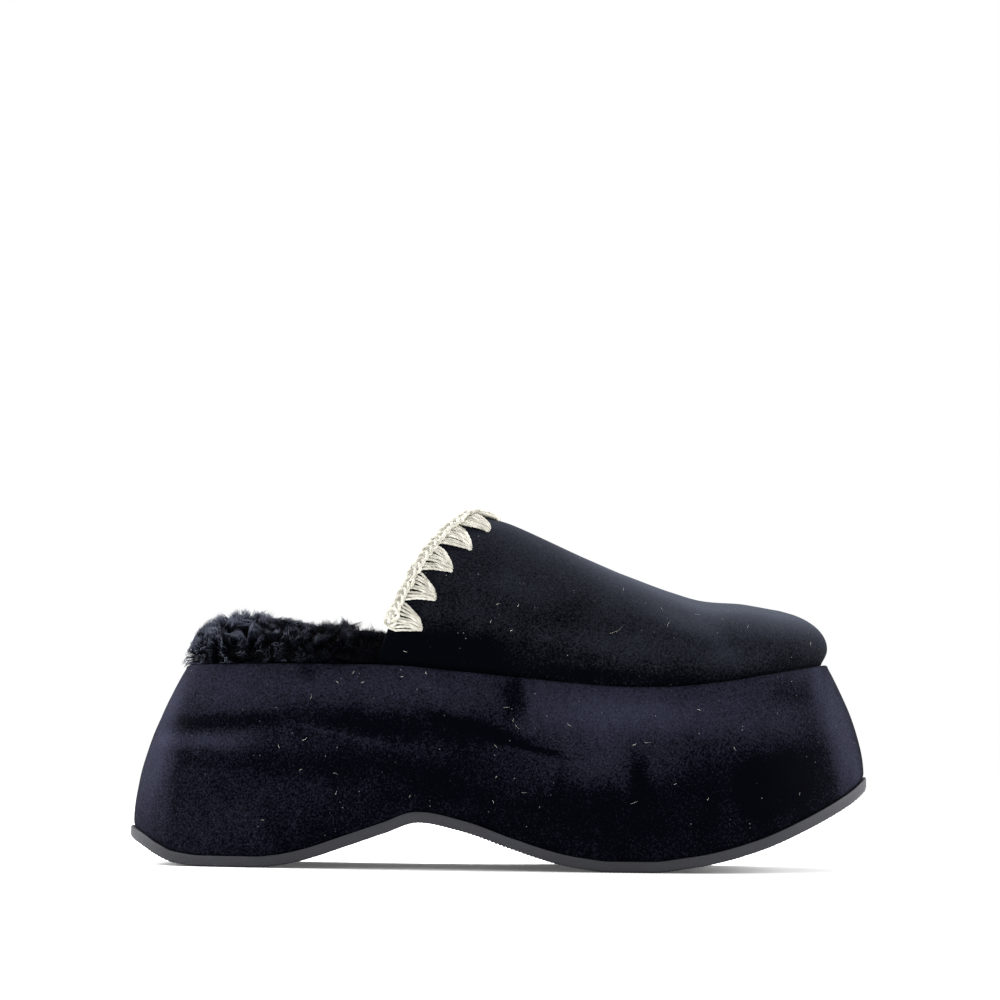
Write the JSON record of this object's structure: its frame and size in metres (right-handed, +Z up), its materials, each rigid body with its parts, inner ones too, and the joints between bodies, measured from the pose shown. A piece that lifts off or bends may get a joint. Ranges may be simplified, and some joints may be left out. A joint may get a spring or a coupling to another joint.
{
  "type": "platform mule slipper",
  "caption": "Backless slipper on a thick wrapped platform with a wavy rubber sole, deep fur footbed, suede vamp and crocheted collar edge; right foot.",
  "frame": {"origin": "on the floor, in the middle of the outsole's length and breadth", "axes": "+X from heel to toe, +Y from the outer side of the foot to its inner side, +Z up from the floor"},
  "size_m": [0.29, 0.1104, 0.1409],
  "materials": {
    "grey_rubber": "matte dark grey rubber with a fine cross rib on its edge",
    "black_microsuede_wrap": "black microsuede wrapped over foam, nap brushed unevenly",
    "black_microsuede": "black microsuede with a short nap",
    "black_fur": "deep black curly pile",
    "cream_yarn": "cream cotton yarn, crocheted"
  },
  "bodies": {
    "root": {"outsole": "grey_rubber", "platform": "black_microsuede_wrap", "upper": "black_microsuede", "fur_footbed": "black_fur", "collar_trim": "cream_yarn"}
  },
  "joints": []
}
